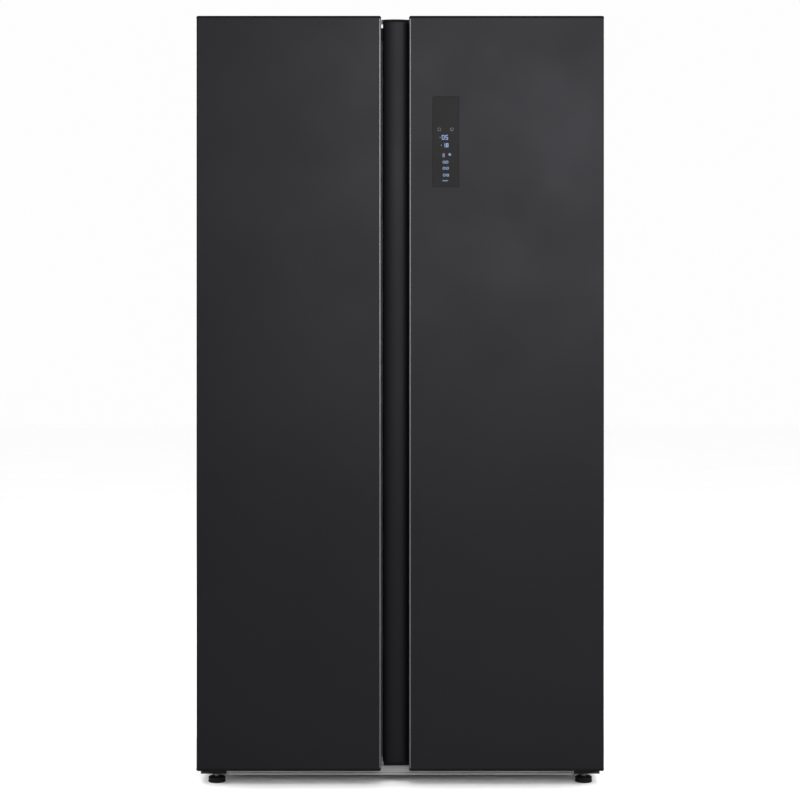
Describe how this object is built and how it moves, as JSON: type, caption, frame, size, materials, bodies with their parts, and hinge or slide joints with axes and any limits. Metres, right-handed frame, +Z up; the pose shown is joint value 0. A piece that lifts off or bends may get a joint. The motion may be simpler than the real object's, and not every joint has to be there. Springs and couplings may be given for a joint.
{
  "type": "side by side refrigerator",
  "caption": "Tall side by side refrigerator: full-height freezer door on the left, fridge door on the right with a recessed vertical grip column and a slim touch display.",
  "frame": {"origin": "on the floor, under the middle of the overall width and depth", "axes": "+Z up; -Y is the front, where the doors are; +X is to the right as seen from the front, so the freezer is at -X and the fridge at +X"},
  "size_m": [0.912, 0.65, 1.745],
  "materials": {
    "door_steel": "satin",
    "case_steel": "satin",
    "silver_steel": "satin",
    "zinc_steel": "satin",
    "black_steel": "satin",
    "foam": "matte",
    "white_plastic": "satin",
    "black_plastic": "satin",
    "grip_plastic": "satin",
    "clear_plastic": "gloss",
    "shelf_glass": "gloss",
    "display_glass": "gloss",
    "gasket_rubber": "matte",
    "black_rubber": "matte",
    "copper_tube": "satin",
    "bare_aluminium": "satin"
  },
  "bodies": {
    "cabinet": {"outer_case": "case_steel", "rear_panel": "zinc_steel", "centre_post_frame": "silver_steel", "base_frame": "zinc_steel", "cabinet_foam": "foam", "freezer_liner": "white_plastic", "fridge_liner": "white_plastic", "top_hinge_left": "zinc_steel", "top_hinge_right": "zinc_steel", "hinge_cover_left": "black_plastic", "hinge_cover_right": "black_plastic", "bottom_hinge_left": "black_steel", "bottom_hinge_right": "black_steel", "compressor": "black_steel", "condenser_coil": "copper_tube", "condenser_fan_shroud": "black_plastic", "drip_tray": "black_plastic", "machine_cover": "zinc_steel", "cord_gland": "black_rubber", "evaporator": "bare_aluminium", "evaporator_cover": "white_plastic", "fridge_air_duct": "white_plastic", "freezer_shelf_lower": "shelf_glass", "freezer_shelf_middle": "shelf_glass", "freezer_shelf_upper": "shelf_glass", "fridge_shelf_lower": "shelf_glass", "fridge_shelf_middle": "shelf_glass", "fridge_shelf_upper": "shelf_glass", "crisper_cover": "shelf_glass"},
    "freezer_door": {"freezer_door_skin": "door_steel", "freezer_door_foam": "foam", "freezer_door_liner": "white_plastic", "freezer_door_gasket": "gasket_rubber", "freezer_door_top_cap": "black_plastic", "freezer_door_bottom_cap": "black_plastic", "freezer_door_grip": "grip_plastic", "freezer_bin_lower": "clear_plastic", "freezer_bin_middle": "clear_plastic", "freezer_bin_upper": "clear_plastic"},
    "fridge_door": {"fridge_door_skin": "door_steel", "fridge_door_foam": "foam", "fridge_door_liner": "white_plastic", "fridge_door_gasket": "gasket_rubber", "fridge_door_top_cap": "black_plastic", "fridge_door_bottom_cap": "black_plastic", "fridge_door_grip": "grip_plastic", "fridge_bin_lower": "clear_plastic", "fridge_bin_middle": "clear_plastic", "fridge_bin_upper": "clear_plastic", "display_panel": "display_glass"},
    "freezer_drawer_lower": {"freezer_drawer_lower": "clear_plastic"},
    "freezer_drawer_upper": {"freezer_drawer_upper": "clear_plastic"},
    "crisper_lower": {"crisper_lower": "clear_plastic"},
    "crisper_upper": {"crisper_upper": "clear_plastic"},
    "condenser_fan": {"condenser_fan": "black_plastic"},
    "evaporator_fan": {"evaporator_fan": "white_plastic"},
    "foot_left": {"foot_left": "black_plastic"},
    "foot_right": {"foot_right": "black_plastic"},
    "roller_left": {"roller_left": "black_plastic"},
    "roller_right": {"roller_right": "black_plastic"}
  },
  "joints": [
    {"name": "door_freezer", "type": "hinge", "parent": "cabinet", "child": "freezer_door", "pos_m": [-0.436, -0.295, 0], "axis": [0, 0, -1], "range_deg": [0, 120]},
    {"name": "door_fridge", "type": "hinge", "parent": "cabinet", "child": "fridge_door", "pos_m": [0.436, -0.295, 0], "axis": [0, 0, 1], "range_deg": [0, 120]},
    {"name": "drawer_crisper_lower", "type": "slide", "parent": "cabinet", "child": "crisper_lower", "axis": [0, -1, 0], "range_m": [0, 0.085]},
    {"name": "drawer_crisper_upper", "type": "slide", "parent": "cabinet", "child": "crisper_upper", "axis": [0, -1, 0], "range_m": [0, 0.085]},
    {"name": "drawer_freezer_lower", "type": "slide", "parent": "cabinet", "child": "freezer_drawer_lower", "axis": [0, -1, 0], "range_m": [0, 0.085]},
    {"name": "drawer_freezer_upper", "type": "slide", "parent": "cabinet", "child": "freezer_drawer_upper", "axis": [0, -1, 0], "range_m": [0, 0.085]},
    {"name": "fan_condenser", "type": "hinge", "parent": "cabinet", "child": "condenser_fan", "pos_m": [0.027, 0.226, 0.131], "axis": [1, 0, 0], "continuous": true},
    {"name": "fan_evaporator", "type": "hinge", "parent": "cabinet", "child": "evaporator_fan", "pos_m": [-0.2355, 0.216, 0.722], "axis": [0, 1, 0], "continuous": true},
    {"name": "foot_left", "type": "hinge", "parent": "cabinet", "child": "foot_left", "pos_m": [-0.4195, -0.232, 0], "axis": [0, 0, 1], "continuous": true},
    {"name": "foot_right", "type": "hinge", "parent": "cabinet", "child": "foot_right", "pos_m": [0.4195, -0.232, 0], "axis": [0, 0, 1], "continuous": true},
    {"name": "roller_left", "type": "hinge", "parent": "cabinet", "child": "roller_left", "pos_m": [-0.43, 0.285, 0.02], "axis": [1, 0, 0], "continuous": true},
    {"name": "roller_right", "type": "hinge", "parent": "cabinet", "child": "roller_right", "pos_m": [0.43, 0.285, 0.02], "axis": [1, 0, 0], "continuous": true}
  ]
}
